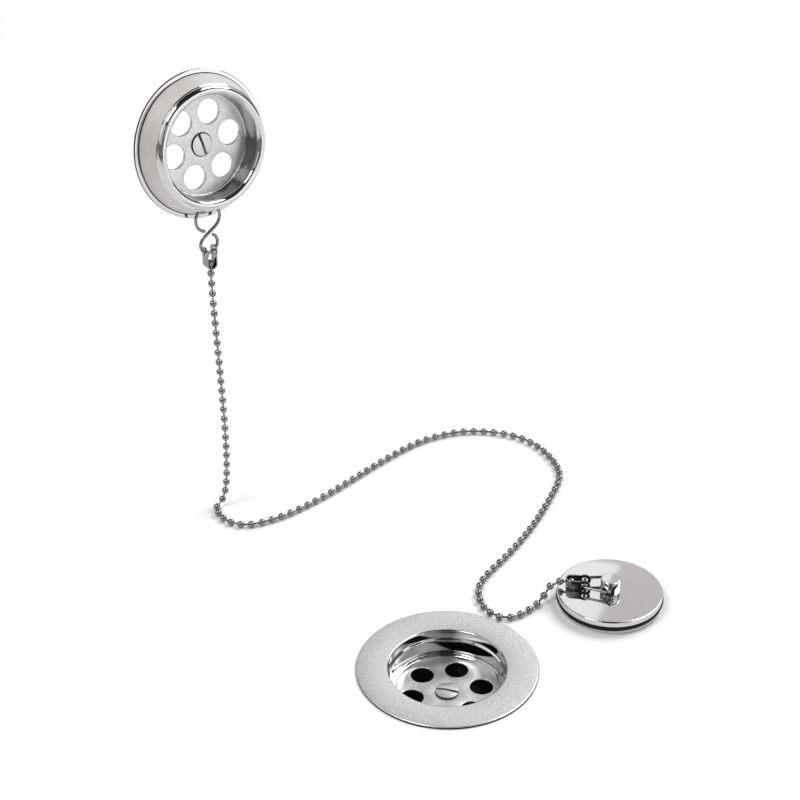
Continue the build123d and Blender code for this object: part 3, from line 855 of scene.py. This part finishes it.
class WASTE_OT_flange(bpy.types.Operator):
    """Makes the turned flange, its cup and its drilled grid"""

    bl_idname = "bathwaste.flange"
    bl_label = "Waste flange"

    def execute(self, context):
        s = context.scene.bath_waste
        finishes = ["chrome", "grid", "flange", "shaded"]
        inner = s.ridge_radius - s.ridge_width / 2
        outer = s.ridge_radius + s.ridge_width / 2
        shoulder = s.ridge_top - s.ridge_width / 2
        lip_top = s.flange_top - s.flange_dish

        def finish_at(reach, height):
            # The flange's outer wall takes painted shade, a dark line under its edge
            if reach > s.flange_radius - EDGE:
                return "shaded"
            if reach > s.mouth_radius + s.mouth_round and height > lip_top - SLACK:
                return "flange"
            return "chrome"

        bm = bmesh.new()
        turned_ring(
            bm,
            [
                (inner, s.cup_floor, 0),
                (inner, s.ridge_top, s.ridge_round),
                (outer, s.ridge_top, s.ridge_round),
                (outer, shoulder, CRISP),
                (s.seat_radius, shoulder, CRISP),
                (s.seat_radius, s.seat_level - s.seat_step, SOFT),
                (s.mouth_radius, s.seat_level, SOFT),
                (s.mouth_radius, lip_top, s.mouth_round),
                (s.flange_radius, s.flange_top, s.rim_round),
                (s.flange_radius, 0.0, EASED),
                (s.cup_radius, 0.0, CRISP),
                (s.cup_radius, s.cup_floor, s.cup_round),
            ],
        )
        finish_faces(bm, finishes, finish_at)
        holes = hole_ring(s.hole_radius, s.hole_circle, s.hole_angle, s.screw_hole)
        # The waste grid's hole walls take painted shade
        grid, wall = finishes.index("grid"), finishes.index("shaded")
        drilled_plate(bm, inner, s.cup_floor, s.grid_level, holes, s.hole_round, grid, wall)
        bmesh.ops.recalc_face_normals(bm, faces=bm.faces[:])
        piece = link_mesh("waste_flange_turned", bm, finishes, TURNED_SHARP)
        set_piece(piece, "fixed", "polished_chrome", "waste_flange")
        return {"FINISHED"}


class WASTE_OT_overflow(bpy.types.Operator):
    """Makes the overflow face with its rolled ring, recess and grid"""

    bl_idname = "bathwaste.overflow"
    bl_label = "Overflow face"

    def execute(self, context):
        s = context.scene.bath_overflow
        finishes = ["chrome", "satin", "grid", "recess", "shaded"]
        ring_in = s.ring_radius - s.ring_round
        ring_out = s.ring_radius + s.ring_round
        level = s.height - s.ring_rise
        foot = s.radius - s.band_inset
        ledge = s.grid_top + s.ledge_height
        heel = s.grid_radius + s.heel_width
        margin = s.groove / 2

        def finish_at(reach, height):
            if ring_out + margin < reach < foot + margin and s.flange + margin < height < level - s.groove:
                return "satin"
            # The ring's inside is darkened as painted shade
            if reach < ring_in + EDGE and ledge + EDGE < height < level + EDGE:
                return "recess"
            # A dark line of painted shade at the band's foot
            if foot - s.groove < reach < foot + s.band_shade_foot and abs(height - s.flange) < s.groove + EDGE:
                return "shaded"
            # Painted shade on the flange's outer wall and on the thin ring round the screw
            if reach > s.radius - EDGE or reach < s.screw_shade_ring + EDGE:
                return "shaded"
            return "chrome"

        # A thin flat ring just above the grid, painted shade round the screw's head
        bm = bmesh.new()
        turned_ring(
            bm,
            [
                (s.screw_hole, s.grid_top, 0),
                (s.screw_hole, s.grid_top + s.shade_ring_rise, 0),
                (s.screw_shade_ring, s.grid_top + s.shade_ring_rise, 0),
                (s.screw_shade_ring, s.grid_top, 0),
            ],
        )
        turned_ring(
            bm,
            [
                (s.grid_radius, s.grid_back, 0),
                (s.grid_radius, ledge, s.ledge_round),
                (s.grid_radius + s.ledge_width, ledge, EASED),
                *crown(s.ring_radius, level, s.ring_round, s.ring_rise),
                (ring_out, level - s.groove, CRISP),
                (ring_out + s.groove, level - 2 * s.groove, EASED),
                (foot, s.flange + s.groove, CRISP),
                (foot - s.groove, s.flange, CRISP),
                (foot + s.band_shade_foot, s.flange, 0),
                (s.radius, s.flange, s.flange_round),
                (s.radius, 0.0, CRISP),
                (foot - s.band_wall, 0.0, CRISP),
                (ring_out - s.band_wall, level - 1.5 * s.band_wall, CRISP),
                (s.ring_radius - s.band_wall / 2, level - s.ring_wall, CRISP),
                (ring_in + s.band_wall, level - 2 * s.band_wall, CRISP),
                (heel, s.grid_top + s.heel_height, CRISP),
                (heel, s.grid_back, CRISP),
            ],
        )
        finish_faces(bm, finishes, finish_at)
        turns = (s.hook_angle, s.hook_angle + s.hook_spread)
        bm = bored(bm, s.hook_hole, s.hook_level, ring_in + s.hook_drill, s.radius, turns)
        holes = hole_ring(s.hole_radius, s.hole_circle, s.hole_angle, s.screw_hole)
        grid = finishes.index("grid")
        drilled_plate(bm, s.grid_radius, s.grid_back, s.grid_top, holes, s.hole_round, grid, grid)
        bmesh.ops.recalc_face_normals(bm, faces=bm.faces[:])
        bmesh.ops.transform(bm, matrix=overflow_matrix(), verts=bm.verts[:])
        piece = link_mesh("overflow_face_turned", bm, finishes, TURNED_SHARP)
        set_piece(piece, "fixed", "satin_chrome", "overflow_face")
        return {"FINISHED"}


class WASTE_OT_plug(bpy.types.Operator):
    """Makes the plug's two discs, its seal and its pillar"""

    bl_idname = "bathwaste.plug"
    bl_label = "Plug"

    def execute(self, context):
        s = context.scene.bath_plug
        place = Matrix.Translation((PLUG_PIVOT.x, PLUG_PIVOT.y, 0.0))
        base_radius = s.radius - s.base_inset
        proud_radius = s.radius + s.seal_proud
        land_top = s.seal_top - s.seal_bevel
        top_disc = [
            (s.stud_radius, s.seal_top, 0),
            (s.stud_radius, s.disc_top, 0),
            (s.radius, s.disc_top, s.disc_round),
            (s.radius, s.seal_top, EASED),
        ]
        seal = [
            (s.stud_radius, s.base_top, 0),
            (s.stud_radius, s.seal_top, 0),
            (s.radius - s.seal_tuck, s.seal_top, FINE),
            (proud_radius, land_top, s.seal_round),
            (proud_radius, land_top - s.seal_land, EASED),
            (base_radius + s.seal_tuck, s.base_top, FINE),
        ]
        base_disc = [
            (s.stud_radius, s.rivet_depth, 0),
            (s.stud_radius, s.base_top, 0),
            (base_radius, s.base_top, EASED),
            (base_radius, 0.0, s.disc_round),
            (s.rivet_radius, 0.0, CRISP),
            (s.rivet_radius, s.rivet_depth, 0),
        ]
        for name, node, finish, slot, section in (
            ("plug_top_disc", "plug_top", "chrome", "polished_chrome", top_disc),
            ("plug_seal_ring", "plug_seal", "rubber", "rubber", seal),
            ("plug_base_disc", "plug_base", "chrome", "polished_chrome", base_disc),
        ):
            bm = bmesh.new()
            turned_ring(bm, section)
            bmesh.ops.recalc_face_normals(bm, faces=bm.faces[:])
            bmesh.ops.transform(bm, matrix=place, verts=bm.verts[:])
            set_piece(link_mesh(name, bm, [finish], TURNED_SHARP), "plug", slot, node)
        pillar = smooth_copy("plug_pillar", "plug_pillar_turned", "chrome")
        set_piece(pillar, "plug", "polished_chrome", "plug_pillar")
        return {"FINISHED"}


class WASTE_OT_wires(bpy.types.Operator):
    """Makes the S-hook, the bail, both couplings and both screws"""

    bl_idname = "bathwaste.wires"
    bl_label = "Wires and couplings"

    def execute(self, context):
        for node, body, finish, slot, axis in (
            ("s_hook", "hook", "bead", "chain_chrome", None),
            ("plug_bail", "bail", "bead", "chain_chrome", None),
            ("hook_coupling", "hanging", "bead", "chain_chrome", None),
            ("plug_coupling", "fixed", "bead", "chain_chrome", None),
            # The screws' walls along their axis take painted shade
            ("waste_screw", "fixed", "flange", "polished_chrome", Vector((0, 0, 1))),
            ("overflow_screw", "fixed", "grid", "satin_chrome", OVERFLOW_NORMAL),
        ):
            set_piece(smooth_copy(node, node + "_smooth", finish, axis), body, slot, node)
        return {"FINISHED"}


class WASTE_OT_chain(bpy.types.Operator):
    """Strings the balls of the chain along its route"""

    bl_idname = "bathwaste.chain"
    bl_label = "Ball chain"

    def execute(self, context):
        s = context.scene.bath_chain
        places = even_places(route_points(), s.pitch)
        split = sum(1 for place in places if place.z > s.hanging_end)
        hanging, lying = places[:split], places[split:]
        for name, string, joined, body, lay, nodes in (
            ("chain_hanging", hanging, None, "hanging", "hanging", ("hanging_balls", "hanging_links")),
            ("chain_lying", lying, hanging[-1], "fixed", "loose", ("lying_balls", "lying_links")),
        ):
            ordered = string[::-1] if joined else string
            bm = bead_string(ordered, joined, s)
            piece = link_mesh(name, bm, ["bead"], BEAD_SHARP)
            set_piece(piece, body, "chain_chrome", *nodes)
            sum((b - a).length for a, b in zip(string, string[1:]))
        return {"FINISHED"}


class WASTE_OT_hidden(bpy.types.Operator):
    """Gives the washers, the tail and its insert their finishes"""

    bl_idname = "bathwaste.hidden"
    bl_label = "Washers and tail"

    def execute(self, context):
        for node, finish, slot in (
            ("waste_washer", "rubber", "rubber"),
            ("tail_washer", "rubber", "rubber"),
            ("overflow_washer", "rubber", "rubber"),
            ("waste_tail", "plastic", "plastic"),
            ("tail_insert", "brass", "brass"),
        ):
            set_piece(smooth_copy(node, node + "_smooth", finish), "fixed", slot, node)
        return {"FINISHED"}


class WASTE_OT_stage(bpy.types.Operator):
    """Sets the floor, the lights and the camera"""

    bl_idname = "bathwaste.stage"
    bl_label = "Stage"

    def execute(self, context):
        scene = context.scene
        studio_floor()
        studio_sky(scene)
        for box in SOFT_BOXES:
            soft_box(scene, *box)
        scene.view_settings.view_transform = "Standard"
        studio_camera(scene)
        return {"FINISHED"}


class WASTE_PT_panel(bpy.types.Panel):
    """Lists the pieces of the bath waste"""

    bl_idname = "WASTE_PT_panel"
    bl_label = "Bath waste"
    bl_space_type = "VIEW_3D"
    bl_region_type = "UI"
    bl_category = "Bath waste"

    def draw(self, context):
        for operator in OPERATORS:
            self.layout.operator(operator.bl_idname)


OPERATORS = (
    WASTE_OT_flange,
    WASTE_OT_overflow,
    WASTE_OT_plug,
    WASTE_OT_wires,
    WASTE_OT_chain,
    WASTE_OT_hidden,
    WASTE_OT_stage,
)
GROUPS = {
    "bath_waste": WasteSizes,
    "bath_overflow": OverflowSizes,
    "bath_plug": PlugSizes,
    "bath_chain": ChainSizes,
    "bath_colours": FinishColours,
}


def register():
    """Registers the sizes, the operators and the panel."""
    for group in GROUPS.values():
        bpy.utils.register_class(group)
    for name, group in GROUPS.items():
        setattr(bpy.types.Scene, name, PointerProperty(type=group))
    for operator in OPERATORS:
        bpy.utils.register_class(operator)
    bpy.utils.register_class(WASTE_PT_panel)


def unregister():
    """Takes back what register() did."""
    bpy.utils.unregister_class(WASTE_PT_panel)
    for operator in reversed(OPERATORS):
        bpy.utils.unregister_class(operator)
    for name, group in GROUPS.items():
        delattr(bpy.types.Scene, name)
        bpy.utils.unregister_class(group)


def main():
    """Builds every piece and the stage."""
    register()
    bpy.ops.bathwaste.flange()
    bpy.ops.bathwaste.overflow()
    bpy.ops.bathwaste.plug()
    bpy.ops.bathwaste.wires()
    bpy.ops.bathwaste.chain()
    bpy.ops.bathwaste.hidden()
    bpy.ops.bathwaste.stage()


if __name__ == "__main__":
    main()
